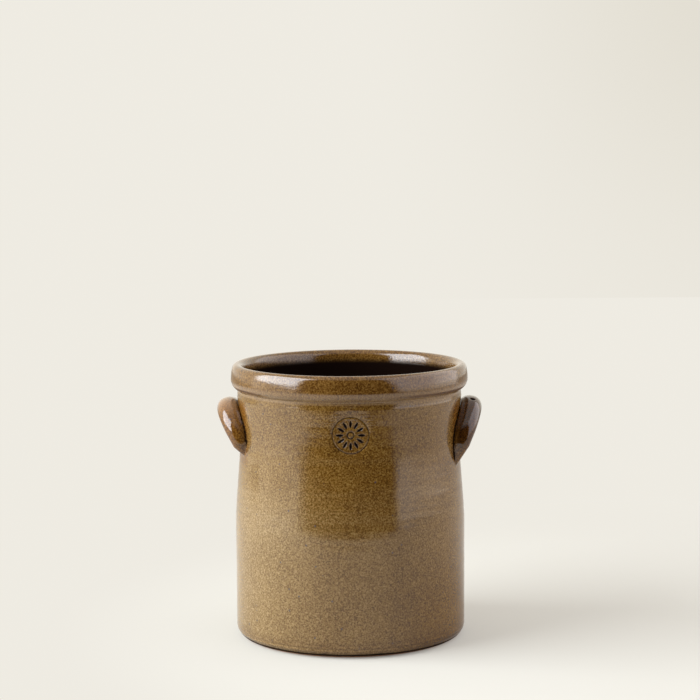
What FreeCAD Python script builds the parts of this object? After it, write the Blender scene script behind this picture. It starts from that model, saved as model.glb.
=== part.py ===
import FreeCAD, Part
import math
import os
import re

import Sketcher

Vector = FreeCAD.Vector

# One-gallon stoneware crock with two ear handles, in millimetres. The crock stands on z = 0
# with its axis on Z, and the handles face +X and -X. It is one fired piece: a thrown pot
# with a rolled rim, and two coils of the same clay bent into arches and luted to its neck.

# Driving dimensions

SIZES = [
    ("crock_height", 220.0, "table to the crest of the rim"),
    ("belly_radius", 91.8, "outside of the straight lower wall"),
    ("wall", 7.0, "thickness of the thrown wall"),
    ("floor_thickness", 9.0, "table to the inside floor"),
    ("floor_cove", 14.0, "radius of the inside corner"),
    ("edge_round", 9.0, "rounding of the bottom edge"),
    ("foot_width", 12.0, "flat ring that the crock stands on"),
    ("foot_recess", 1.5, "hollow under the floor, inside that ring"),
    ("shoulder_drop", 130.0, "crest to where the wall starts to draw in"),
    ("neck_drop", 60.0, "crest to the narrowest place"),
    ("neck_inset", 3.8, "how far the neck draws in from the belly"),
    ("collar_inset", 2.0, "belly to the collar just below the rim"),
    ("groove_depth", 0.9, "throat between the collar and the rolled rim"),
    ("groove_round", 2.4, "radius of that throat"),
    ("rim_overhang", 3.2, "how far the rolled rim stands out past the belly"),
    ("rim_widest_drop", 12.5, "crest to the widest place of the roll"),
    ("rim_under_round", 9.5, "radius of the underside of the roll"),
    ("rim_face_round", 40.0, "radius of the outer face of the roll"),
    ("crest_inset", 5.1, "widest place of the roll to its crest"),
    ("lip_round", 5.1, "radius of the inner edge of the mouth"),
    ("handle_drop", 35.7, "crest of the rim to the middle of a handle's bar"),
    ("handle_gap", 1.1, "slit between the bar and the collar"),
    ("handle_lean", 23.0, "degrees that the arch leans out from the wall"),
    ("arch_radius", 28.0, "centre line of the arch"),
    ("bar_radius", 7.6, "half the thickness of the coil at the top of the arch"),
    ("leg_radius", 7.0, "half the thickness where the arch becomes a leg"),
    ("leg_end_radius", 2.6, "half the thickness at the pressed-in end"),
]

document = FreeCAD.newDocument("crock")
sheet = document.addObject("Spreadsheet::Sheet", "sizes")
for row, (alias, number, meaning) in enumerate(SIZES, start=1):
    sheet.set(f"A{row}", meaning)
    sheet.set(f"B{row}", str(number))
    sheet.setAlias(f"B{row}", alias)
document.recompute()

ALIAS = re.compile(r"\b(" + "|".join(alias for alias, _, _ in SIZES) + r")\b")


def value(formula):
    """What a formula in the sheet's aliases comes to."""
    return float(sheet.evalExpression(formula))


def follow(thing, target, formula):
    """Bind a property or a named constraint to such a formula."""
    thing.setExpression(target, ALIAS.sub(r"sizes.\1", formula))


def origin_plane(body, role):
    return next(item for item in body.Origin.OriginFeatures if item.Role == role)


def new_sketch(body, name, role):
    sketch = body.newObject("Sketcher::SketchObject", name)
    sketch.AttachmentSupport = [(origin_plane(body, role), "")]
    sketch.MapMode = "FlatFace"
    return sketch


class Outline:
    """Lines and arcs of a sketch in the order of travel. An edge is its geometry's number
    and its first and last ends, which are 2 and 1 on an arc drawn clockwise. Constraints
    are gathered and given to the solver in one go, then bound to their formulas."""

    ORIGIN = (-1, 1)
    UPRIGHT_AXIS = -2
    CENTRE = 3

    def __init__(self, sketch):
        self.sketch = sketch
        self.constraints = []
        self.formulas = []

    def line(self, start, end):
        number = self.sketch.addGeometry(Part.LineSegment(Vector(*start, 0), Vector(*end, 0)))
        return number, 1, 2

    def arc(self, centre, radius, start, end):
        """An arc from one angle to another in degrees, anticlockwise if end is larger."""
        circle = Part.Circle(Vector(*centre, 0), Vector(0, 0, 1), radius)
        low, high = sorted((math.radians(start), math.radians(end)))
        number = self.sketch.addGeometry(Part.ArcOfCircle(circle, low, high))
        return (number, 1, 2) if end > start else (number, 2, 1)

    def hold(self, kind, *items):
        self.constraints.append(Sketcher.Constraint(kind, *items))

    def measure(self, kind, name, formula, *items):
        self.formulas.append((len(self.constraints), name, formula))
        self.hold(kind, *items, value(formula))

    def across(self, name, formula, *point):
        """Distance of a point from the crock's axis."""
        self.measure("DistanceX", name, formula, *self.ORIGIN, *point)

    def above(self, name, formula, *point):
        """Height of a point above the table."""
        self.measure("DistanceY", name, formula, *self.ORIGIN, *point)

    def join(self, kind, before, after):
        """Coincident where two ends only meet, Tangent where they also run on smoothly."""
        self.hold(kind, before[0], before[2], after[0], after[1])

    def solve(self):
        self.sketch.addConstraint(self.constraints)
        for number, name, formula in self.formulas:
            self.sketch.renameConstraint(number, name)
            follow(self.sketch, f"Constraints.{name}", formula)
        document.recompute()
        if self.sketch.solve() or not self.sketch.FullyConstrained:
            raise RuntimeError(f"{self.sketch.Name} has no single solution")


body = document.addObject("PartDesign::Body", "body")
body.Label = "crock"


# Thrown pot: one closed section, turned about the axis. The outside rises from the foot ring
# up the straight wall, draws in to the neck, turns out to the collar, and passes a narrow
# throat into the rolled rim. The inside keeps the wall's thickness down to the floor.

section = new_sketch(body, "pot_section", "XZ_Plane")
pot = Outline(section)

belly = value("belly_radius")
top = value("crock_height")
shoulder_height = value("crock_height - shoulder_drop")
neck_height = value("crock_height - neck_drop")
neck = value("belly_radius - neck_inset")
collar = value("belly_radius - collar_inset")
rim = value("belly_radius + rim_overhang")
crest = value("belly_radius + rim_overhang - crest_inset")
wall = value("wall")
edge = value("edge_round")
cove = value("floor_cove")
floor_height = value("floor_thickness")
recess = value("foot_recess")
lip = value("lip_round")

# The shoulder and neck arcs share one radius and meet where both turn by bend degrees.
bend = math.degrees(2 * math.atan2(value("neck_inset"), neck_height - shoulder_height))
draw_in = (neck_height - shoulder_height) / (2 * math.sin(math.radians(bend)))

groove_round = value("groove_round")
groove_across = collar - value("groove_depth") + groove_round
under_round = value("rim_under_round")
widest_height = value("crock_height - rim_widest_drop")
reach = under_round + groove_round
under_turn = math.degrees(math.acos(min(1, (groove_across - rim + under_round) / reach)))
groove_height = widest_height - reach * math.sin(math.radians(under_turn))
collar_turn = math.degrees(math.acos((groove_across - collar) / groove_round))
collar_height = groove_height - groove_round * math.sin(math.radians(collar_turn))

collar_rise = collar_height - neck_height
collar_draw = (collar_rise**2 + (collar - neck) ** 2) / (2 * (collar - neck))
collar_bend = math.degrees(math.asin(collar_rise / collar_draw))

face_round = value("rim_face_round")
face_rise = top - widest_height
crest_back = face_round - rim + crest
crest_round = (face_round**2 - crest_back**2 - face_rise**2) / (2 * (face_round - face_rise))
face_turn = math.degrees(math.atan2(face_rise - crest_round, crest_back))

# Inside, one long arc runs from the neck to the rounded lip and touches both.
mouth_rise = top - lip - neck_height
mouth_flare = crest - neck + wall
mouth_draw = (mouth_flare**2 + mouth_rise**2 - lip**2) / (2 * (mouth_flare - lip))
mouth_bend = math.degrees(math.atan2(mouth_rise, mouth_draw - mouth_flare))

ring_outer = belly - edge
ring_inner = ring_outer - value("foot_width")
floor_under = pot.line((0, recess), (ring_inner - recess, recess))
ring_bevel = pot.line((ring_inner - recess, recess), (ring_inner, 0))
foot_ring = pot.line((ring_inner, 0), (ring_outer, 0))
bottom_edge = pot.arc((ring_outer, edge), edge, -90, 0)
belly_wall = pot.line((belly, edge), (belly, shoulder_height))
shoulder = pot.arc((belly - draw_in, shoulder_height), draw_in, 0, bend)
throat_side = pot.arc((neck + draw_in, neck_height), draw_in, 180 + bend, 180)
collar_side = pot.arc((neck + collar_draw, neck_height), collar_draw, 180, 180 - collar_bend)
groove = pot.arc((groove_across, groove_height), groove_round, 180 + collar_turn, 180 - under_turn)
rim_under = pot.arc((rim - under_round, widest_height), under_round, -under_turn, 0)
rim_face = pot.arc((rim - face_round, widest_height), face_round, 0, face_turn)
rim_top = pot.arc((crest, top - crest_round), crest_round, face_turn, 90)
lip_edge = pot.arc((crest, top - lip), lip, 90, 180 - mouth_bend)
inner_mouth = pot.arc((neck - wall + mouth_draw, neck_height), mouth_draw, 180 - mouth_bend, 180)
inner_throat = pot.arc((neck + draw_in, neck_height), draw_in + wall, 180, 180 + bend)
inner_shoulder = pot.arc((belly - draw_in, shoulder_height), draw_in - wall, bend, 0)
inner_wall = pot.line((belly - wall, shoulder_height), (belly - wall, floor_height + cove))
inner_cove = pot.arc((belly - wall - cove, floor_height + cove), cove, 0, -90)
inner_floor = pot.line((belly - wall - cove, floor_height), (0, floor_height))
axis_edge = pot.line((0, floor_height), (0, recess))

# Foot
pot.hold("PointOnObject", floor_under[0], floor_under[1], pot.UPRIGHT_AXIS)
pot.hold("Horizontal", floor_under[0])
pot.above("recess_height", "foot_recess", floor_under[0], floor_under[1])
pot.join("Coincident", floor_under, ring_bevel)
pot.measure("DistanceX", "bevel", "foot_recess", ring_bevel[0], 1, ring_bevel[0], 2)
pot.hold("PointOnObject", ring_bevel[0], ring_bevel[2], -1)
pot.join("Coincident", ring_bevel, foot_ring)
pot.hold("Horizontal", foot_ring[0])
pot.measure("DistanceX", "foot_ring", "foot_width", foot_ring[0], 1, foot_ring[0], 2)
pot.join("Tangent", foot_ring, bottom_edge)
pot.measure("Radius", "bottom_edge", "edge_round", bottom_edge[0])
pot.join("Tangent", bottom_edge, belly_wall)
pot.hold("Vertical", belly_wall[0])

# Outside wall
pot.across("belly", "belly_radius", belly_wall[0], belly_wall[2])
pot.above("shoulder_height", "crock_height - shoulder_drop", belly_wall[0], belly_wall[2])
pot.join("Tangent", belly_wall, shoulder)
pot.join("Tangent", shoulder, throat_side)
pot.hold("Equal", shoulder[0], throat_side[0])
pot.across("neck", "belly_radius - neck_inset", throat_side[0], throat_side[2])
pot.above("neck_height", "crock_height - neck_drop", throat_side[0], throat_side[2])
pot.hold("Horizontal", throat_side[0], pot.CENTRE, throat_side[0], throat_side[2])
pot.join("Coincident", throat_side, collar_side)
pot.hold("Horizontal", collar_side[0], pot.CENTRE, collar_side[0], collar_side[1])
pot.across("collar", "belly_radius - collar_inset", collar_side[0], collar_side[2])

# Rolled rim
pot.join("Coincident", collar_side, groove)
pot.measure("Radius", "groove", "groove_round", groove[0])
pot.across(
    "groove_across", "belly_radius - collar_inset - groove_depth + groove_round", groove[0], pot.CENTRE
)
pot.join("Tangent", groove, rim_under)
pot.measure("Radius", "rim_under", "rim_under_round", rim_under[0])
pot.across("rim", "belly_radius + rim_overhang", rim_under[0], rim_under[2])
pot.above("rim_widest", "crock_height - rim_widest_drop", rim_under[0], rim_under[2])
pot.hold("Horizontal", rim_under[0], pot.CENTRE, rim_under[0], rim_under[2])
pot.join("Coincident", rim_under, rim_face)
pot.measure("Radius", "rim_face", "rim_face_round", rim_face[0])
pot.hold("Horizontal", rim_face[0], pot.CENTRE, rim_face[0], rim_face[1])
pot.join("Tangent", rim_face, rim_top)
pot.across("crest", "belly_radius + rim_overhang - crest_inset", rim_top[0], rim_top[2])
pot.above("crest_height", "crock_height", rim_top[0], rim_top[2])
pot.hold("Vertical", rim_top[0], pot.CENTRE, rim_top[0], rim_top[2])
pot.join("Coincident", rim_top, lip_edge)
pot.measure("Radius", "lip_edge", "lip_round", lip_edge[0])
pot.hold("Vertical", lip_edge[0], pot.CENTRE, lip_edge[0], lip_edge[1])

# Inside wall, concentric with the outside below the neck
pot.join("Tangent", lip_edge, inner_mouth)
pot.hold("Horizontal", inner_mouth[0], pot.CENTRE, inner_mouth[0], inner_mouth[2])
pot.join("Coincident", inner_mouth, inner_throat)
pot.hold("Coincident", inner_throat[0], pot.CENTRE, throat_side[0], pot.CENTRE)
pot.hold("Horizontal", inner_throat[0], pot.CENTRE, inner_throat[0], inner_throat[1])
pot.join("Tangent", inner_throat, inner_shoulder)
pot.hold("Coincident", inner_shoulder[0], pot.CENTRE, shoulder[0], pot.CENTRE)
pot.join("Tangent", inner_shoulder, inner_wall)
pot.hold("Vertical", inner_wall[0])
pot.across("inner_wall", "belly_radius - wall", inner_wall[0], inner_wall[2])
pot.join("Tangent", inner_wall, inner_cove)
pot.measure("Radius", "inner_cove", "floor_cove", inner_cove[0])
pot.join("Tangent", inner_cove, inner_floor)
pot.hold("Horizontal", inner_floor[0])
pot.above("floor_height", "floor_thickness", inner_floor[0], inner_floor[2])
pot.hold("PointOnObject", inner_floor[0], inner_floor[2], pot.UPRIGHT_AXIS)
pot.join("Coincident", inner_floor, axis_edge)
pot.join("Coincident", axis_edge, floor_under)
pot.solve()

turned = body.newObject("PartDesign::Revolution", "turned_pot")
turned.Profile = section
turned.ReferenceAxis = (section, ["V_Axis"])
turned.Angle = 360
document.recompute()


# Ear handles: a coil bent into an arch that leans out from the neck, thickest at the top and
# drawn down to a point at each end, where it is pressed into the wall. A pipe runs through
# five round sections along the arch, and its mirror image makes the other handle.

BAR_ACROSS = "belly_radius - collar_inset + handle_gap + bar_radius"
BAR_HEIGHT = "crock_height - handle_drop"

# The legs end in the middle of the wall, which stands arch_radius to the side of the axis.
WALL_MIDDLE = "sqrt((belly_radius - neck_inset - wall / 2)^2 - arch_radius^2)"
LEG_REACH = f"({BAR_ACROSS} - {WALL_MIDDLE}) / sin(handle_lean * 1deg)"


def lean_out(sketch, axis, angle, along):
    """Turn a sketch about an axis of its plane and move it to a point along the arch.
    The point is given as formulas for the three directions of the plane."""
    sketch.AttachmentOffset = FreeCAD.Placement(Vector(0, 0, 0), FreeCAD.Rotation(axis, 1))
    follow(sketch, "AttachmentOffset.Rotation.Angle", angle)
    for direction, formula in zip("xyz", along):
        if formula:
            follow(sketch, f"AttachmentOffset.Base.{direction}", formula)


arch_path = new_sketch(body, "arch_path", "YZ_Plane")
lean_out(arch_path, Vector(1, 0, 0), "handle_lean * 1deg", ("", BAR_HEIGHT, BAR_ACROSS))
arch = Outline(arch_path)

spread = value("arch_radius")
reach_down = value(LEG_REACH)
near_leg = arch.line((-spread, -reach_down), (-spread, -spread))
over = arch.arc((0, -spread), spread, 180, 0)
far_leg = arch.line((spread, -spread), (spread, -reach_down))
arch.hold("Vertical", near_leg[0])
arch.hold("Vertical", far_leg[0])
arch.join("Tangent", near_leg, over)
arch.join("Tangent", over, far_leg)
arch.hold("PointOnObject", over[0], arch.CENTRE, arch.UPRIGHT_AXIS)
arch.measure("Radius", "arch", "arch_radius", over[0])
arch.measure("DistanceY", "apex", "arch_radius", over[0], arch.CENTRE, *arch.ORIGIN)
arch.measure("DistanceY", "near_reach", LEG_REACH, near_leg[0], near_leg[1], *arch.ORIGIN)
arch.measure("DistanceY", "far_reach", LEG_REACH, far_leg[0], far_leg[2], *arch.ORIGIN)
arch.solve()


def coil_section(name, role, radius, axis, angle, along):
    sketch = new_sketch(body, name, role)
    lean_out(sketch, axis, angle, along)
    ring = Outline(sketch)
    circle = Part.Circle(Vector(0, 0, 0), Vector(0, 0, 1), value(radius))
    number = sketch.addGeometry(circle)
    ring.hold("Coincident", number, ring.CENTRE, *ring.ORIGIN)
    ring.measure("Radius", "coil", radius, number)
    ring.solve()
    return sketch


def leg_section(name, side, down, radius):
    """A section across a leg, this far down the leaning plane from the top of the arch."""
    place = (
        f"{BAR_ACROSS} - ({down}) * sin(handle_lean * 1deg)",
        f"{side} * arch_radius",
        f"{BAR_HEIGHT} - ({down}) * cos(handle_lean * 1deg)",
    )
    return coil_section(name, "XY_Plane", radius, Vector(0, 1, 0), "handle_lean * 1deg", place)


near_end = leg_section("near_end", -1, LEG_REACH, "leg_end_radius")
near_spring = leg_section("near_spring", -1, "arch_radius", "leg_radius")
bar_top = coil_section(
    "bar_top",
    "XZ_Plane",
    "bar_radius",
    Vector(0, 0, 1),
    "-handle_lean * 1deg",
    (BAR_ACROSS, BAR_HEIGHT, ""),
)
far_spring = leg_section("far_spring", 1, "arch_radius", "leg_radius")
far_end = leg_section("far_end", 1, LEG_REACH, "leg_end_radius")

handle = body.newObject("PartDesign::AdditivePipe", "handle")
handle.Profile = near_end
handle.Spine = (arch_path, [])
handle.Transformation = "Multisection"
handle.Sections = [(near_spring, [""]), (bar_top, [""]), (far_spring, [""]), (far_end, [""])]
document.recompute()

other_handle = body.newObject("PartDesign::Mirrored", "other_handle")
other_handle.Originals = [handle]
other_handle.MirrorPlane = (origin_plane(body, "YZ_Plane"), [""])
body.Tip = other_handle
document.recompute()


# Check every feature, then write the fired piece

failed = [item.Name for item in document.Objects if {"Invalid", "Error"} & set(item.State)]
if failed:
    raise RuntimeError(f"these did not build: {', '.join(failed)}")
if body.Shape.isNull() or not body.Shape.isValid() or len(body.Shape.Solids) != 1:
    raise RuntimeError("the crock is not one valid solid")

os.makedirs("parts", exist_ok=True)
body.Shape.exportStep(os.path.join("parts", f"{body.Label}.step"))
print(f"{body.Label}: {body.Shape.Volume / 1000:.0f} cubic centimetres of clay")
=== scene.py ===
import math

import bmesh
import bpy
from mathutils import Matrix, Vector, noise


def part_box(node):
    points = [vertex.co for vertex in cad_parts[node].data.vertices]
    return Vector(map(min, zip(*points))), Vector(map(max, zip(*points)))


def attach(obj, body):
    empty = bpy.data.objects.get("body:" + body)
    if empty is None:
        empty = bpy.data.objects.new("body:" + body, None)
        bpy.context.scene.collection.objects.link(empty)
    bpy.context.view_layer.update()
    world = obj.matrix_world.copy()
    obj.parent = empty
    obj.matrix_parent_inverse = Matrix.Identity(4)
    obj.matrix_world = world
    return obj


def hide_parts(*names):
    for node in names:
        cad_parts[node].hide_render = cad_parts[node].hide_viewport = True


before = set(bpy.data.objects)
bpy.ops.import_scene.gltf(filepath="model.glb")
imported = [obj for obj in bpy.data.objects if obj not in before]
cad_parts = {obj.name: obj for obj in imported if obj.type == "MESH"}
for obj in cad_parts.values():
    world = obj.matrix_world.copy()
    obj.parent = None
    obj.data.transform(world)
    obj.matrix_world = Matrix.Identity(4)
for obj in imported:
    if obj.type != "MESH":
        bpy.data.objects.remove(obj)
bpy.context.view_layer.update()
MM = 0.001


# ---------------------------------------------------------------------------------------
# The pot: a stoneware cylinder thrown on the wheel, drawn in at the neck and finished with
# a rolled rim. It is turned here from one section that runs from the middle of the
# underside, up the outside, over the rim and down the inside to the middle of the floor.
# ---------------------------------------------------------------------------------------

pot_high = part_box("crock")[1]
height = pot_high.z
rim = pot_high.y
belly = rim - 2.7 * MM
neck = belly - 4.0 * MM
collar = belly - 2.0 * MM
wall = 7 * MM
floor_thickness = 9 * MM
floor_cove = 14 * MM
edge_round = 9 * MM
foot_width = 12 * MM
foot_recess = 1.5 * MM
shoulder_height = height - 130 * MM
neck_height = height - 60 * MM
widest_height = height - 12.5 * MM
under_round = 8.6 * MM
face_round = 40 * MM
crest = rim - 5.1 * MM
crest_round = 4.1 * MM
lip_round = 5.1 * MM
groove_round = 2.0 * MM
groove_depth = 0.9 * MM

finger_reach = 3 * MM
finger_passes = 14

around = 256
coarse_row = 4.0 * MM
wall_row = 1.7 * MM
rim_row = 0.7 * MM
groove_row = 0.45 * MM


def ease(amount):
    """0 below 0, 1 above 1, and a smooth rise between."""
    amount = min(1.0, max(0.0, amount))
    return amount * amount * (3 - 2 * amount)


def wall_radius(level):
    """Outside of the wall from the bottom edge to the collar."""
    if level <= neck_height:
        return belly - (belly - neck) * ease((level - shoulder_height) / (neck_height - shoulder_height))
    return neck + (collar - neck) * ((level - neck_height) / (collar_height - neck_height)) ** 2


def straight(start, end, spacing):
    """Points from start, which is left out, to end."""
    steps = max(1, round((Vector(end) - Vector(start)).length / spacing))
    return [Vector(start).lerp(Vector(end), step / steps) for step in range(1, steps + 1)]


def bow(centre, radius, start, end, spacing):
    """Points of an arc between two angles in degrees, without the first."""
    steps = max(2, round(math.radians(abs(end - start)) * radius / spacing))
    angles = [math.radians(start + (end - start) * step / steps) for step in range(1, steps + 1)]
    return [Vector(centre) + radius * Vector((math.cos(a), math.sin(a))) for a in angles]


# The groove's arc meets the roll's underside smoothly and the collar at a slight edge.
groove_across = collar - groove_depth + groove_round
under_turn = math.degrees(math.acos((groove_across - rim + under_round) / (under_round + groove_round)))
groove_height = widest_height - (under_round + groove_round) * math.sin(math.radians(under_turn))
collar_turn = math.degrees(math.acos((groove_across - collar) / groove_round))
collar_height = groove_height - groove_round * math.sin(math.radians(collar_turn))
crest_turn = math.degrees(math.atan2(height - crest_round - widest_height, crest - rim + face_round))

# The inside of the mouth is one long arc from the neck to the rounded lip.
mouth_rise = height - lip_round - neck_height
mouth_flare = crest - neck + wall
mouth_draw = (mouth_flare**2 + mouth_rise**2 - lip_round**2) / (2 * (mouth_flare - lip_round))
mouth_turn = math.degrees(math.atan2(mouth_rise, mouth_draw - mouth_flare))

ring_outer = belly - edge_round
ring_inner = ring_outer - foot_width
wall_rows = round((collar_height - edge_round) / wall_row)
outside = [edge_round + (collar_height - edge_round) * row / wall_rows for row in range(1, wall_rows + 1)]
inside_low = floor_thickness + floor_cove
inside_rows = round((neck_height - inside_low) / coarse_row)
inside = [neck_height + (inside_low - neck_height) * row / inside_rows for row in range(1, inside_rows + 1)]

section = (
    straight((0, foot_recess), (ring_inner - foot_recess, foot_recess), coarse_row)
    + straight((ring_inner - foot_recess, foot_recess), (ring_inner, 0), rim_row)
    + straight((ring_inner, 0), (ring_outer, 0), 2 * wall_row)
    + bow((ring_outer, edge_round), edge_round, -90, 0, rim_row)
    + [Vector((wall_radius(level), level)) for level in outside]
    + bow((groove_across, groove_height), groove_round, 180 + collar_turn, 180 - under_turn, groove_row)
    + bow((rim - under_round, widest_height), under_round, -under_turn, 0, rim_row)
    + bow((rim - face_round, widest_height), face_round, 0, crest_turn, rim_row)
    + bow((crest, height - crest_round), crest_round, crest_turn, 90, rim_row)
    + bow((crest, height - lip_round), lip_round, 90, 180 - mouth_turn, rim_row)
    + bow((neck - wall + mouth_draw, neck_height), mouth_draw, 180 - mouth_turn, 180, 2 * wall_row)
    + [Vector((wall_radius(level) - wall, level)) for level in inside]
    + bow((belly - wall - floor_cove, inside_low), floor_cove, 0, -90, 2 * wall_row)
    + straight((belly - wall - floor_cove, floor_thickness), (0, floor_thickness), coarse_row)[:-1]
)

# A wet finger has run over the edge between the groove and the collar.
for _ in range(finger_passes):
    for index in range(1, len(section) - 1):
        reach, level = section[index]
        if reach > neck - wall / 2 and abs(level - collar_height) < finger_reach:
            section[index] = (section[index - 1] + 2 * section[index] + section[index + 1]) / 4

pot = bmesh.new()
under_middle = pot.verts.new((0, 0, foot_recess))
floor_middle = pot.verts.new((0, 0, floor_thickness))
turn = 2 * math.pi / around
rings = []
for reach, level in section:
    rings.append([
        pot.verts.new((reach * math.cos(step * turn), reach * math.sin(step * turn), level))
        for step in range(around)
    ])
for lower, upper in zip(rings, rings[1:]):
    for step in range(around):
        after = (step + 1) % around
        pot.faces.new((lower[step], lower[after], upper[after], upper[step]))
for step in range(around):
    after = (step + 1) % around
    pot.faces.new((under_middle, rings[0][after], rings[0][step]))
    pot.faces.new((floor_middle, rings[-1][step], rings[-1][after]))


# ---------------------------------------------------------------------------------------
# The pressed seal: a round die pushed into the damp wall under the rim. It left a shallow
# dish with a soft edge, a ring line, and twelve petals round a small eye.
# ---------------------------------------------------------------------------------------

seal_height = height - 46 * MM
seal_across = 0.8 * MM
seal_round = 16.5 * MM
seal_ring = 14.2 * MM
seal_depth = 0.75 * MM
seal_press = 1.5 * MM
dish_share = 0.22
dish_margin = 1.5 * MM
dish_edge = 2.0 * MM
ring_width = 0.45 * MM
petals = 12
petal_middle = 8.6 * MM
petal_length = 3.4 * MM
petal_width = 1.15 * MM
petal_flat = 0.55
petal_slope = 0.5
eye_round = 2.6 * MM
eye_width = 0.5 * MM

seal_middle = Vector((seal_across, -neck, seal_height))
seal_field = [
    face for face in pot.faces
    if face.calc_center_median().y < -0.8 * belly
    and (face.calc_center_median() - seal_middle).length < 1.2 * seal_round
    and face.calc_center_median().xy.length > neck - 0.5 * wall
]
seal_edges = {edge for face in seal_field for edge in face.edges}
bmesh.ops.subdivide_edges(pot, edges=list(seal_edges), cuts=3, use_grid_fill=True)


def seal_print(across, up):
    """How deep the die went in at a place on the wall, and how much glaze has run in there."""
    reach = math.hypot(across, up)
    if reach > 2 * seal_round:
        return 0.0, 0.0
    flat = max(0.0, seal_press - across**2 / (2 * neck)) * (1 - ease((reach / seal_round - 0.6) / 0.9))
    dish = dish_share * (1 - ease((reach - seal_round + dish_margin) / dish_edge))
    ring = math.exp(-(((reach - seal_ring) / ring_width) ** 2))
    eye = math.exp(-(((reach - eye_round) / eye_width) ** 2))
    share = 2 * math.pi / petals
    swing = (math.atan2(up, across) + share / 2) % share - share / 2
    along = (reach * math.cos(swing) - petal_middle) / petal_length
    aside = reach * math.sin(swing) / petal_width
    petal = 1 - ease((math.hypot(along, aside) - petal_flat) / petal_slope)
    cut = max(petal, 0.6 * ring, 0.8 * eye)
    return flat + seal_depth * (dish + cut), cut


# ---------------------------------------------------------------------------------------
# The thrown surface: finger lines climb the wall in a slow spiral, finer below the rim. A
# turning tool cut three lines near the foot, and a finger left a crease under the rim.
# ---------------------------------------------------------------------------------------

swell_depth = 0.16 * MM
swell_scale = Vector((14, 14, 30))
rib_depth = 0.09 * MM
rib_scale = 210
fine_depth = 0.16 * MM
fine_scale = 720
spiral_climb = 3 * MM
fine_start = neck_height + 14 * MM
fine_rise = 10 * MM
fine_fall = 2 * MM
tool_lines = ((4.6 * MM, 0.2 * MM), (7.4 * MM, 0.3 * MM), (10.4 * MM, 0.2 * MM))
rim_crease = (groove_height + 3.4 * MM, 0.15 * MM)
line_width = 0.6 * MM
line_waver = 0.4 * MM
waver_scale = 18
plain_foot = 2 * MM


def noise_round(angle, sway, rise):
    """Noise that drifts by sway on the way round the pot, and by rise on the way up."""
    return noise.noise(Vector((sway * math.cos(angle), sway * math.sin(angle), rise)))


def throwing(point):
    """How far the surface stands out from the plain section at a point of the outside."""
    angle = math.atan2(point.y, point.x)
    level = point.z + spiral_climb * angle / math.pi
    slow = noise.noise(point * swell_scale)
    ribs = noise_round(angle, 0.3, level * rib_scale)
    fine = noise_round(angle, 0.2, point.z * fine_scale)
    below_rim = ease((point.z - fine_start) / fine_rise) * (1 - ease((point.z - widest_height) / fine_fall))
    stand = swell_depth * slow + rib_depth * ribs + fine_depth * fine * below_rim
    waver = line_waver * noise.noise(Vector((point.x * waver_scale, point.y * waver_scale, 3)))
    for line, depth in (*tool_lines, rim_crease):
        stand -= depth * math.exp(-(((point.z - line - waver) / line_width) ** 2))
    return stand


# The mesh carries two marks for the glaze: hollows where it pooled, also used later for painted shade along
# the handle seams, and the lined inside.
hollow = pot.verts.layers.float.new("hollow")
lining = pot.verts.layers.float.new("lining")
for vert in pot.verts:
    inner_reach = wall_radius(min(vert.co.z, collar_height)) - 0.4 * wall
    inner = vert.co.z < height - lip_round and vert.co.xy.length < inner_reach
    if inner and vert.co.z > floor_thickness / 2:
        vert[lining] = 1.0
    if inner or vert.co.z < plain_foot:
        continue
    out = Vector((vert.co.x, vert.co.y, 0)).normalized()
    shift = throwing(vert.co)
    if vert.co.y < -0.7 * belly and vert.co.z < collar_height:
        depth, cut = seal_print(vert.co.x - seal_across, vert.co.z - seal_height)
        shift -= depth
        vert[hollow] = cut
    vert.co += out * shift

pot_mesh = bpy.data.meshes.new("crock")
pot.to_mesh(pot_mesh)
pot.free()
crock = bpy.data.objects.new("salt_glazed_crock", pot_mesh)
bpy.context.scene.collection.objects.link(crock)


# ---------------------------------------------------------------------------------------
# The ear handles: a coil of the same clay on each side, bent into an arch that leans out
# from the neck, thickest at the top, with both ends pressed and smeared into the wall.
# A bubble broke on one of them and left a small pit.
# ---------------------------------------------------------------------------------------

# Side 1 is the right handle, and side -1 the left one, which leans out further.
leans = {1: math.radians(21.2), -1: math.radians(27)}
arch = 28 * MM
bar = 7.6 * MM
leg = 7.0 * MM
leg_end = 1.8 * MM
bar_across = collar + 0.6 * MM + bar
bar_height = height - 35.7 * MM
wall_middle = math.sqrt((neck - wall / 2) ** 2 - arch**2)
coil_around = 44
pressed_in = 2.6 * MM
slit = 0.35 * MM
pinch_depth = 0.35 * MM
pinch_scale = 60
coil_step = 1.1 * MM


def arch_line(leg_reach):
    """Steps along the arch in its leaning plane: place and heading, each aside and down, and thickness."""
    leg_run = leg_reach - arch
    bend = math.pi * arch
    whole = 2 * leg_run + bend
    steps = round(whole / coil_step)
    for step in range(steps + 1):
        travel = whole * step / steps
        if travel < leg_run:
            thick = leg_end + (leg - leg_end) * travel / leg_run
            yield Vector((-arch, leg_reach - travel)), Vector((0, -1)), thick
        elif travel > leg_run + bend:
            rest = whole - travel
            thick = leg_end + (leg - leg_end) * rest / leg_run
            yield Vector((arch, leg_reach - rest)), Vector((0, 1)), thick
        else:
            turn = (travel - leg_run) / arch
            thick = leg + (bar - leg) * ease(math.sin(turn))
            place = Vector((-arch * math.cos(turn), arch - arch * math.sin(turn)))
            yield place, Vector((math.sin(turn), -math.cos(turn))), thick


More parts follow.
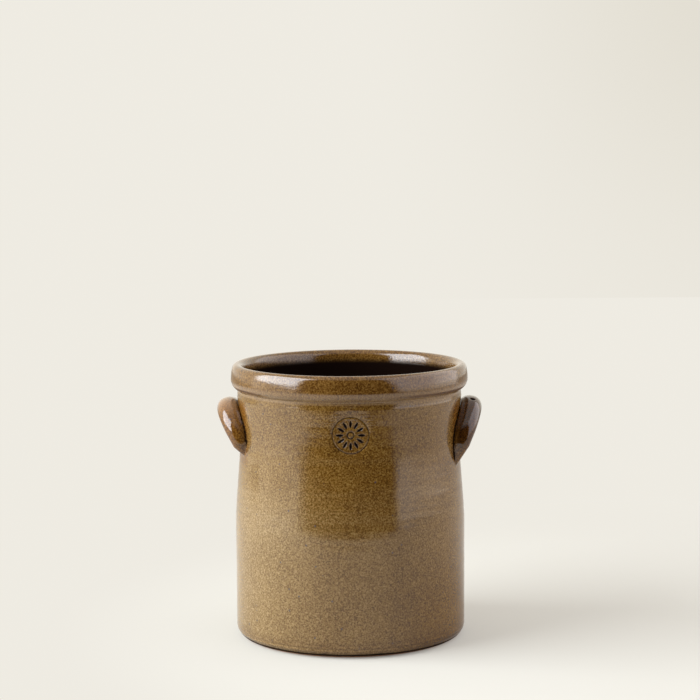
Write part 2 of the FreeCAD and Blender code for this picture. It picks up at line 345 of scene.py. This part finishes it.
def ear(side):
    """One handle as a closed coil, on side 1 or -1."""
    coil = bmesh.new()
    lean = leans[side]
    plane_out = Vector((math.cos(lean), 0, -math.sin(lean)))
    leg_reach = (bar_across - wall_middle) / math.sin(lean)
    rings = []
    for (aside, down), (along_aside, along_down), thick in arch_line(leg_reach):
        middle = Vector((bar_across - down * math.sin(lean), aside, bar_height - down * math.cos(lean)))
        run = Vector((-along_down * math.sin(lean), along_aside, -along_down * math.cos(lean)))
        across = run.cross(plane_out)
        ring = []
        for step in range(coil_around):
            turn = 2 * math.pi * step / coil_around
            out = plane_out * math.cos(turn) + across * math.sin(turn)
            place = middle + thick * out
            place -= pressed_in * max(0.0, -math.cos(turn)) * plane_out
            pinch = pinch_depth * noise.noise(pinch_scale * place + Vector((0, 9 * side, 0)))
            place += pinch * out
            clear = wall_radius(place.z) + slit - place.xy.length
            if clear > 0 and down < 0.5 * arch:
                place += Vector((clear, 0, 0))
            ring.append(coil.verts.new((place.x * side, place.y, place.z)))
        rings.append(ring)
    for lower, upper in zip(rings, rings[1:]):
        for step in range(coil_around):
            after = (step + 1) % coil_around
            coil.faces.new((lower[step], lower[after], upper[after], upper[step]))
    for ring in (rings[0], rings[-1]):
        coil.faces.new(ring)
    bmesh.ops.recalc_face_normals(coil, faces=coil.faces)
    mesh = bpy.data.meshes.new("ear")
    coil.to_mesh(mesh)
    coil.free()
    return mesh


# Both coils are luted on with slip, and from here the crock is one piece of clay.
for side in (1, -1):
    coil = bpy.data.objects.new("ear", ear(side))
    bpy.context.scene.collection.objects.link(coil)
    luting = crock.modifiers.new("luting", "BOOLEAN")
    luting.operation = "UNION"
    luting.solver = "EXACT"
    luting.object = coil
    joined = bpy.data.meshes.new_from_object(crock.evaluated_get(bpy.context.evaluated_depsgraph_get()))
    crock.modifiers.clear()
    crock.data = joined
    bpy.data.objects.remove(coil)

# The seam of each leg is smeared with a wet finger, and painted shade darkens the crevice along it.
seam_across = 70 * MM
seam_low = bar_height - 60 * MM
seam_high = collar_height - 8 * MM
seam_bend = math.radians(20)
seam_feet = {1: height - 80 * MM, -1: height - 66 * MM}
seam_fade = 9 * MM
seam_side_shade = 0.3
smear_rows = 2
smear_passes = 4

clay = bmesh.new()
clay.from_mesh(crock.data)
clay.normal_update()
seam = {
    vert for edge in clay.edges if edge.is_manifold and abs(edge.verts[0].co.x) > seam_across
    and seam_low < edge.verts[0].co.z < seam_high
    and edge.calc_face_angle_signed(0) < -seam_bend
    for vert in edge.verts
}
near_seam = set(seam)
for _ in range(smear_rows):
    near_seam |= {edge.other_vert(vert) for vert in near_seam for edge in vert.link_edges}
for _ in range(smear_passes):
    bmesh.ops.smooth_vert(
        clay, verts=list(near_seam), factor=0.5, use_axis_x=True, use_axis_y=True, use_axis_z=True
    )
hollow = clay.verts.layers.float.get("hollow")
for vert in near_seam:
    seam_foot = seam_feet[1 if vert.co.x > 0 else -1]
    vert[hollow] = (1.0 if vert in seam else seam_side_shade) * ease((vert.co.z - seam_foot) / seam_fade)

# The pit is high on the front of the right handle.
pit_place = Vector((bar_across, -9 * MM, bar_height + 5.6 * MM))
pit_round = 3.2 * MM
pit_depth = 1.0 * MM
pit_dark = 2.2
pitted = [face for face in clay.faces if (face.calc_center_median() - pit_place).length < 1.6 * pit_round]
bmesh.ops.subdivide_edges(
    clay, edges=list({edge for face in pitted for edge in face.edges}), cuts=2, use_grid_fill=True
)
for vert in clay.verts:
    hole = 1 - ease((vert.co - pit_place).length / pit_round)
    if hole > 0:
        vert.co -= pit_depth * hole * vert.normal
        vert[hollow] = min(1.0, pit_dark * hole)
for face in clay.faces:
    face.smooth = True
clay.to_mesh(crock.data)
clay.free()


# ---------------------------------------------------------------------------------------
# The salt glaze: a glossy skin formed in the kiln from salt vapour over brown stoneware. It
# breaks into fine golden and dark speckles, paler low down and, as painted sheen, on the
# lit left side. Painted shade darkens it on the right, beside the handles, under the roll and
# above the foot. Painted light brightens the top of the left handle, and a painted reflection
# lightens the band under the roll. The inside is lined with dull dark slip, blackened further
# as painted shade, and the foot is wiped bare.
# ---------------------------------------------------------------------------------------

class Wire:
    """An output in a material's nodes. Arithmetic on it adds Math nodes."""

    def __init__(self, tree, socket=None):
        self.tree = tree
        self.socket = socket

    def node(self, kind, settings, sockets, output=0):
        """Add a node, give it its settings and then its sockets' values or wires."""
        node = self.tree.nodes.new("ShaderNode" + kind)
        for name, setting in settings.items():
            if name == "stops":
                while len(node.color_ramp.elements) < len(setting):
                    node.color_ramp.elements.new(0.5)
                for element, (place, colour) in zip(node.color_ramp.elements, setting):
                    element.position = place
                    element.color = (*colour, 1)
            else:
                setattr(node, name, setting)
        for name, given in sockets.items():
            if isinstance(given, Wire):
                self.tree.links.new(given.socket, node.inputs[name])
            elif isinstance(given, tuple) and len(given) == 3 and node.inputs[name].type == "RGBA":
                node.inputs[name].default_value = (*given, 1)
            else:
                node.inputs[name].default_value = given
        return Wire(self.tree, node.outputs[output] if node.outputs else None)

    def math(self, operation, *others):
        return self.node("Math", {"operation": operation}, dict(enumerate((self, *others))))

    def mix(self, first, second, blend="MIX"):
        """Blend two colours by this wire."""
        settings = {"data_type": "RGBA", "blend_type": blend}
        return self.node("Mix", settings, {0: self, 6: first, 7: second}, 2)

    def step(self, start, end):
        """0 before start, 1 past end, smooth between."""
        settings = {"interpolation_type": "SMOOTHSTEP"}
        return self.node("MapRange", settings, {"Value": self, "From Min": start, "From Max": end})

    def band(self, start, full, fading, end):
        """1 from full to fading, 0 before start and past end."""
        return self.step(start, full) * (1 - self.step(fading, end))

    def __add__(self, other):
        return self.math("ADD", other)

    def __sub__(self, other):
        return self.math("SUBTRACT", other)

    def __rsub__(self, other):
        return self.node("Math", {"operation": "SUBTRACT"}, {0: other, 1: self})

    def __mul__(self, other):
        return self.math("MULTIPLY", other)

    __radd__ = __add__
    __rmul__ = __mul__


glaze = bpy.data.materials.new("salt_glaze")
glaze.use_nodes = True
glaze.node_tree.nodes.clear()
kiln = Wire(glaze.node_tree)
place = kiln.node("TexCoord", {}, {}, "Object")
across = kiln.node("SeparateXYZ", {}, {"Vector": place}, "X")
aside = kiln.node("SeparateXYZ", {}, {"Vector": place}, "Y").math("ABSOLUTE")
level = kiln.node("SeparateXYZ", {}, {"Vector": place}, "Z")
flat = kiln.node("VectorMath", {"operation": "MULTIPLY"}, {0: place, 1: (1, 1, 0)})
reach = kiln.node("VectorMath", {"operation": "LENGTH"}, {0: flat}, "Value")


def rings_round(across_scale, up_scale, detail):
    """Noise drawn out round the pot, as fine lines that a hand or a tool leaves on the wheel."""
    stretch = (across_scale, across_scale, up_scale)
    stretched = kiln.node("VectorMath", {"operation": "MULTIPLY"}, {0: place, 1: stretch})
    return kiln.node("TexNoise", {}, {"Vector": stretched, "Scale": 1, "Detail": detail})


# Fine speckles over slow clouds run from dark to light, in a brown and in a pale glaze.
speckle = kiln.node("TexNoise", {}, {"Vector": place, "Scale": 800, "Detail": 2, "Roughness": 0.7})
cloud = kiln.node("TexNoise", {}, {"Vector": place, "Scale": 34, "Detail": 3, "Roughness": 0.5})
grain = speckle + 0.16 * (cloud - 0.5)
honey = kiln.node("ValToRGB", {"stops": (
    (0.36, (0.058, 0.025, 0.004)),
    (0.46, (0.110, 0.050, 0.007)),
    (0.55, (0.158, 0.082, 0.016)),
    (0.66, (0.225, 0.130, 0.033)),
)}, {"Fac": grain})
straw = kiln.node("ValToRGB", {"stops": (
    (0.35, (0.130, 0.074, 0.024)),
    (0.46, (0.208, 0.130, 0.048)),
    (0.55, (0.264, 0.175, 0.073)),
    (0.66, (0.340, 0.240, 0.116)),
)}, {"Fac": grain})

# Places on the pot, each 1 where it is and 0 elsewhere.
drift = 0.030 * (cloud - 0.5)
inside_mask = kiln.node("Attribute", {"attribute_name": "lining"}, {}, "Fac")
inside_mask = inside_mask * (1 - level.step(height - 11 * MM, height - 5 * MM))
# The hollow mark: pooled glaze in the seal and the pit, and painted shade along the handle seams.
pooled = kiln.node("Attribute", {"attribute_name": "hollow"}, {}, "Fac")
upper = (level + drift).step(height - 115 * MM, height - 80 * MM)
by_neck = level.step(height - 78 * MM, height - 50 * MM)
on_rim = level.step(collar_height, widest_height)
shoulder = level.band(height - 150 * MM, height - 115 * MM, height - 70 * MM, height - 40 * MM)
# Painted sheen: the glaze is made paler on the key-lit left side.
lit_side_sheen = 1 - (across + drift).step(-0.95 * belly, 0)
# Painted shade: less pale glaze low on the right, the side away from the key light.
painted_shade_lower_right = across.step(0.1 * belly, 0.9 * belly) * (1 - level.step(25 * MM, 90 * MM))
# Painted shade: the glaze darkens towards the foot on the right, away from the light.
painted_shade_right_foot = across.step(0, 0.8 * belly) * (1 - level.step(4 * MM, 26 * MM))
on_ear = reach.step(neck + 2 * MM, neck + 5 * MM) * upper
on_ear = on_ear * (1 - level.step(collar_height - 6 * MM, collar_height))
# Painted shade: the right handle, away from the key light, is darkened.
painted_shade_right_ear = on_ear * across.step(0, 10 * MM) * level.step(height - 72 * MM, height - 58 * MM)
# Painted light: the top of the left handle is paler and pinker, as if lit.
painted_light_ear_top = on_ear * (1 - across.step(0, 10 * MM)) * level.step(height - 40 * MM, height - 28 * MM)
# Painted shade and reflection of the handle: the wall beside and between the legs is darker and redder.
painted_shade_by_ear = level.band(height - 84 * MM, height - 66 * MM, height - 34 * MM, height - 24 * MM)
painted_shade_by_ear = painted_shade_by_ear * (1 - aside.step(31 * MM, 40 * MM))
# Painted shade: a darker, rougher band under the rolled rim at the sides.
painted_shade_under_roll = level.band(height - 19.5 * MM, height - 18 * MM, height - 17 * MM, height - 15.8 * MM)
painted_shade_under_roll = painted_shade_under_roll * across.step(25 * MM, 60 * MM).math("MAXIMUM", 1 - across.step(-80 * MM, -64 * MM))
painted_shade_under_roll = painted_shade_under_roll * (1 - inside_mask)
# Painted reflection: the band between the collar and the roll is paler, as if the table were mirrored in
# it.
painted_reflection_under_rim = level.band(collar_height, collar_height + 1.5 * MM, height - 15 * MM, height - 12.5 * MM)
painted_reflection_under_rim = painted_reflection_under_rim * (1 - inside_mask) * (1 - painted_shade_under_roll)
# Painted shade: a dark line just above the bare foot, where the contact shadow falls.
painted_contact_shade = 1 - (level + 0.002 * (cloud - 0.5)).step(3.2 * MM, 4.4 * MM)
bare = 1 - level.step(1.6 * MM, 2.0 * MM)
turned = 1 - level.step(9 * MM, 16 * MM)
fingered = level.band(neck_height + 5 * MM, collar_height - 5 * MM, groove_height, widest_height)

# The pale glaze shows low down and, as painted sheen, on the lit left side, with a streaked
# edge at the shoulder. It is kept off the handles, and painted shade keeps it off the wall
# beside them and low on the right.
paleness = 0.27 * (1 - upper) - 0.3 * painted_shade_lower_right
paleness = paleness + lit_side_sheen * (0.72 - 0.10 * upper - 0.34 * by_neck - 0.1 * on_rim)
paleness = paleness + 0.2 * upper * across.step(0.2 * belly, 0.9 * belly)
paleness = paleness + 0.7 * shoulder * (rings_round(7, 190, 3) - 0.5)
paleness = (paleness * (1 - on_ear.math("MAXIMUM", painted_shade_by_ear))).math("MAXIMUM", 0)
colour = paleness.mix(honey, straw)
# Tints over the glaze. All but the rim's are painted light or shade: shade beside the handles, on the right
# handle, low on the right and under the roll, light on the left handle's top, and a reflection in the band
# under the rim.
for share, tint, blend in (
    (0.6 * painted_shade_by_ear, (1.0, 0.70, 0.45), "MULTIPLY"),
    (0.5 * on_rim, (0.72, 0.60, 0.60), "MULTIPLY"),
    (painted_shade_right_ear, (0.40, 0.33, 0.27), "MULTIPLY"),
    (0.42 * painted_light_ear_top, (0.38, 0.24, 0.15), "MIX"),
    (0.6 * painted_shade_right_foot, (0.55, 0.48, 0.42), "MULTIPLY"),
    (0.19 * painted_reflection_under_rim, (0.44, 0.31, 0.19), "MIX"),
    (0.9 * painted_shade_under_roll, (0.62, 0.48, 0.36), "MULTIPLY"),
):
    colour = share.mix(colour, tint, blend)

# Iron in the clay bleeds through as sparse dark specks.
speck_cell = kiln.node("TexVoronoi", {}, {"Vector": place, "Scale": 150}, "Distance")
speck_pick = kiln.node("SeparateColor", {}, {
    "Color": kiln.node("TexVoronoi", {}, {"Vector": place, "Scale": 150}, "Color")
}, "Red")
specks = (1 - speck_cell.step(0.08, 0.16)) * speck_pick.step(0.80, 0.84)
colour = (0.75 * specks).mix(colour, (0.055, 0.05, 0.06))

# The clay shows rusty where the foot is wiped bare, and ringed by the tool above that.
colour = bare.mix(colour, (0.42, 0.20, 0.10))
ringed = rings_round(6, 430, 1).step(0.42, 0.58).mix((1.10, 1.08, 1.06), (0.80, 0.76, 0.72))
colour = (turned * (1 - bare)).mix(colour, ringed, "MULTIPLY")

# The skin is dimpled like orange peel over the lines of the wheel.
peel = kiln.node("TexNoise", {}, {"Vector": place, "Scale": 780, "Detail": 2, "Roughness": 0.5})
lines = rings_round(12, 1100, 2)
texture = peel * (1 + 0.6 * on_rim) + lines * (0.25 + 1.2 * turned + 0.8 * fingered)
bump = kiln.node("Bump", {}, {"Height": texture, "Strength": 0.22, "Distance": 0.25 * MM})
skin = kiln.node("BsdfPrincipled", {}, {
    "Base Color": colour,
    "Roughness": 0.08 + 0.5 * bare + 0.5 * painted_shade_under_roll,
    "IOR": 1.6,
    "Normal": bump,
})

# The slip inside, the glaze pooled in hollows and a line above the foot are dull and dark. The slip is also
# painted shade, near black and without shine, the line above the foot is a painted contact shadow, and the
# dark along the handle seams is painted shade.
# Painted shade: the slip is near black and without shine, as if the mouth lay in shadow.
slip = kiln.node("BsdfPrincipled", {}, {
    "Base Color": (0.006, 0.003, 0.002),
    "Roughness": 0.6,
    "Specular IOR Level": 0.0,
})
# One dull dark shader for the slip, the pooled glaze, and the painted shade at the seams, inside and above
# the foot.
dull = inside_mask.math("MAXIMUM", pooled.step(0.1, 0.7))
dull = dull.math("MAXIMUM", 0.92 * painted_contact_shade * (1 - bare))
kiln.node("OutputMaterial", {}, {"Surface": kiln.node("MixShader", {}, {0: dull, 1: skin, 2: slip})})

crock.data.materials.clear()
crock.data.materials.append(glaze)
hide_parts("crock")
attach(crock, "root")


# ---------------------------------------------------------------------------------------
# The table: a wide matt cream board in two strips. It fades into a plain cream glow away
# from the crock, and a quarter of that glow stays over the crock's cast shadow as painted
# light. The crock is lit by and mirrors a darker copy of the board than the camera sees,
# which paints shade into it. The strip in front neither lights the crock nor shows in its glaze.
# ---------------------------------------------------------------------------------------

cream = (0.86, 0.832, 0.762)
table_front = 0.608
table_reach = 3.0
shade_middle = (0.27, 0.03, 0)
shade_start = 0.26
shade_end = 0.52
# Painted light: this share of the cream glow lightens the crock's cast shadow on the table.
glow_over_shadow = 0.24

paper = bpy.data.materials.new("cream_table")
paper.use_nodes = True
paper.node_tree.nodes.clear()
board = Wire(paper.node_tree)
spot = board.node("TexCoord", {}, {}, "Object")
away = board.node("VectorMath", {"operation": "DISTANCE"}, {0: spot, 1: shade_middle}, "Value")
seen = board.node("LightPath", {}, {}, "Is Camera Ray")
# Painted shade: the crock sees this darker board, the camera the paler one.
plain = board.node("BsdfDiffuse", {}, {"Color": (0.50, 0.475, 0.43)})
paler = board.node("BsdfDiffuse", {}, {"Color": (0.575, 0.562, 0.505)})
matt = board.node("MixShader", {}, {0: seen, 1: plain, 2: paler})
glow = board.node("Emission", {}, {"Color": cream, "Strength": 1.0})
glowing = (glow_over_shadow + (1 - glow_over_shadow) * away.step(shade_start, shade_end)) * seen
fade = board.node("MixShader", {}, {0: glowing, 1: matt, 2: glow})
board.node("OutputMaterial", {}, {"Surface": fade})

for name, near, far in (("table", -table_front, table_reach), ("table_front", -table_reach, -table_front)):
    top = bpy.data.meshes.new(name)
    top.from_pydata(
        [(-table_reach, near, 0), (table_reach, near, 0), (table_reach, far, 0), (-table_reach, far, 0)],
        [],
        [(0, 1, 2, 3)],
    )
    top.materials.append(paper)
    table = bpy.data.objects.new(name, top)
    table.visible_glossy = name == "table"
    table.visible_diffuse = name == "table"
    bpy.context.scene.collection.objects.link(table)


# ---------------------------------------------------------------------------------------
# The room: dark in front of the crock, grey at the sides, pale overhead and behind. The
# camera sees a plain cream backdrop instead, with painted shade deepening its far right corner.
# ---------------------------------------------------------------------------------------

front_half = math.tan(math.radians(46))
front_dark = (0.012, 0.011, 0.010)
side_walls = (0.40, 0.39, 0.37)
wall_behind = (1.15, 1.10, 0.98)
ceiling = (0.72, 0.70, 0.68)
shaded_corner = (0.76, 0.725, 0.64)

world = bpy.data.worlds.new("studio")
world.use_nodes = True
world.node_tree.nodes.clear()
bpy.context.scene.world = world
room = Wire(world.node_tree)
direction = room.node("TexCoord", {}, {}, "Generated")
right = room.node("SeparateXYZ", {}, {"Vector": direction}, "X")
back = room.node("SeparateXYZ", {}, {"Vector": direction}, "Y")
up = room.node("SeparateXYZ", {}, {"Vector": direction}, "Z")
dark = (-1 * back * front_half - right.math("ABSOLUTE")).step(0.0, 0.02)
walls = dark.mix(back.step(-0.2, 0.2).mix(side_walls, wall_behind), front_dark)
walls = up.step(0.50, 0.80).mix(walls, ceiling)
corner = right.step(0.0, 0.2) * (0.35 + 0.65 * up.step(-0.1, 0.06))
backdrop = corner.mix(cream, shaded_corner)
looked_at = room.node("LightPath", {}, {}, "Is Camera Ray")
background = room.node("Background", {}, {"Color": looked_at.mix(walls, backdrop)})
room.node("OutputWorld", {}, {"Surface": background})


# ---------------------------------------------------------------------------------------
# The lamps: a large softbox high on the left with a pale screen under it, and a wide cool
# screen on the right with a low card under it. Each is a flat panel that faces the crock.
# ---------------------------------------------------------------------------------------

aim_height = 0.15


def screen(name, azimuth, elevation, distance, width, tall, power, colour, turn=0):
    """A lit panel that faces the crock, at degrees to the right of its front and above the table."""
    lamp = bpy.data.lights.new(name, "AREA")
    lamp.shape = "RECTANGLE"
    lamp.size = width
    lamp.size_y = tall
    lamp.energy = power
    lamp.color = colour
    holder = bpy.data.objects.new(name, lamp)
    bearing = math.radians(azimuth)
    rise = math.radians(elevation)
    outward = Vector((
        math.sin(bearing) * math.cos(rise), -math.cos(bearing) * math.cos(rise), math.sin(rise)
    ))
    holder.location = Vector((0, 0, aim_height)) + distance * outward
    facing = outward.to_track_quat("Z", "Y").to_matrix() @ Matrix.Rotation(math.radians(turn), 3, "Z")
    holder.rotation_euler = facing.to_euler()
    bpy.context.scene.collection.objects.link(holder)


screen(
    "softbox", azimuth=-73, elevation=29, distance=1.3, width=1.2, tall=1.1,
    power=36, colour=(0.88, 0.93, 1.0), turn=-4,
)
screen(
    "pale_screen", azimuth=-78, elevation=8, distance=1.5, width=1.55, tall=0.8,
    power=4.2, colour=(1.0, 0.92, 0.82),
)
screen(
    "cool_screen", azimuth=85, elevation=30.5, distance=1.3, width=2.5, tall=1.5,
    power=17, colour=(0.94, 0.91, 1.0),
)
screen(
    "low_card", azimuth=87, elevation=-3.6, distance=1.5, width=2.4, tall=0.22,
    power=1.8, colour=(1.0, 0.93, 0.88),
)


# ---------------------------------------------------------------------------------------
# The camera: a long lens in front of the crock and above its rim, looking a little down
# on it and turned a hair off level.
# ---------------------------------------------------------------------------------------

camera_place = (0.75 * MM, -1.650, 0.4193)
camera_tilt = math.radians(90 - 6.55)
camera_roll = math.radians(-0.379)

camera_data = bpy.data.cameras.new("camera")
camera_data.sensor_width = 36
camera_data.lens = 106.49
camera = bpy.data.objects.new("camera", camera_data)
camera.location = camera_place
camera.rotation_euler = (
    Matrix.Rotation(camera_tilt, 3, "X") @ Matrix.Rotation(camera_roll, 3, "Z")
).to_euler()
bpy.context.scene.collection.objects.link(camera)
bpy.context.scene.camera = camera
bpy.context.scene.view_settings.view_transform = "Standard"
